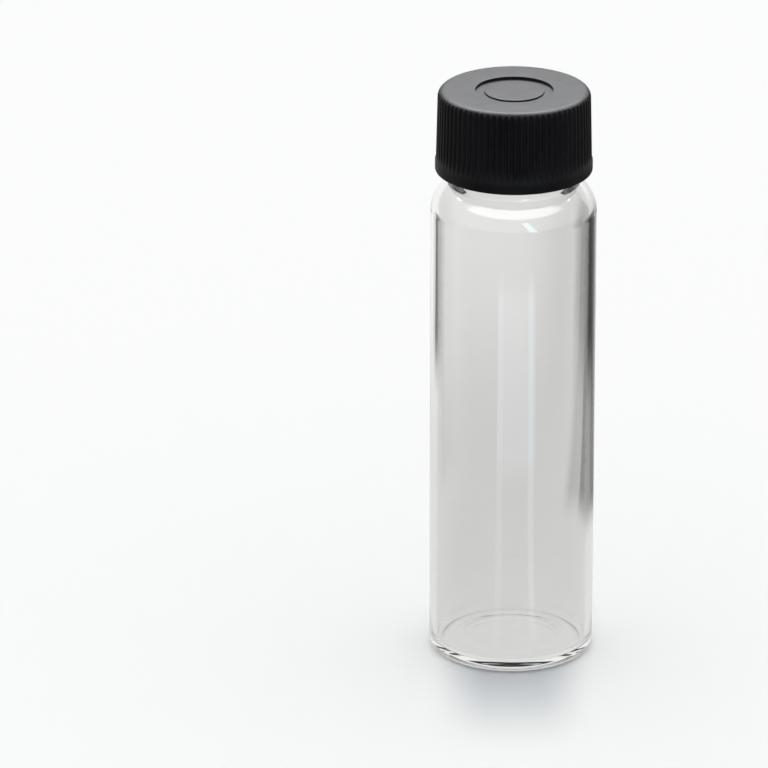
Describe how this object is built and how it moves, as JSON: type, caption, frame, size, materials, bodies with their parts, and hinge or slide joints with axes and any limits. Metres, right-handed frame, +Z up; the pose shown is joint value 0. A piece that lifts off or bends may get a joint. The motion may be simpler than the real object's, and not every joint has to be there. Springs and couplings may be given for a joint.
{
  "type": "glass sample vial",
  "caption": "Clear glass sample vial: straight round body, flat base, rounded shoulder and threaded neck, closed by a ribbed black screw cap with a white liner.",
  "frame": {"origin": "centre of the ring that the vial stands on, on the vial's axis", "axes": "+Z up along the axis, from the base to the cap; +X and +Y are any two directions across it, as the vial is round"},
  "size_m": [0.0274, 0.0274, 0.0988],
  "materials": {
    "glass": "clear, fire-polished",
    "cap_plastic": "fine matte moulded black",
    "liner": "smooth white facing"
  },
  "bodies": {
    "vial": {"glass_vial": "glass"},
    "liner": {"cap_liner": "liner"},
    "cap": {"screw_cap": "cap_plastic"}
  },
  "joints": [
    {"name": "cap_lift", "type": "slide", "parent": "vial", "child": "liner", "axis": [0, 0, 1], "range_m": [0, 0.01111]},
    {"name": "cap_turn", "type": "hinge", "parent": "liner", "child": "cap", "pos_m": [0, 0, 0.095], "axis": [0, 0, 1], "range_deg": [0, 1260]}
  ],
  "couplings": [
    {"joint": "cap_lift", "follows": "cap_turn", "m_per_rad": 0.00050532}
  ]
}
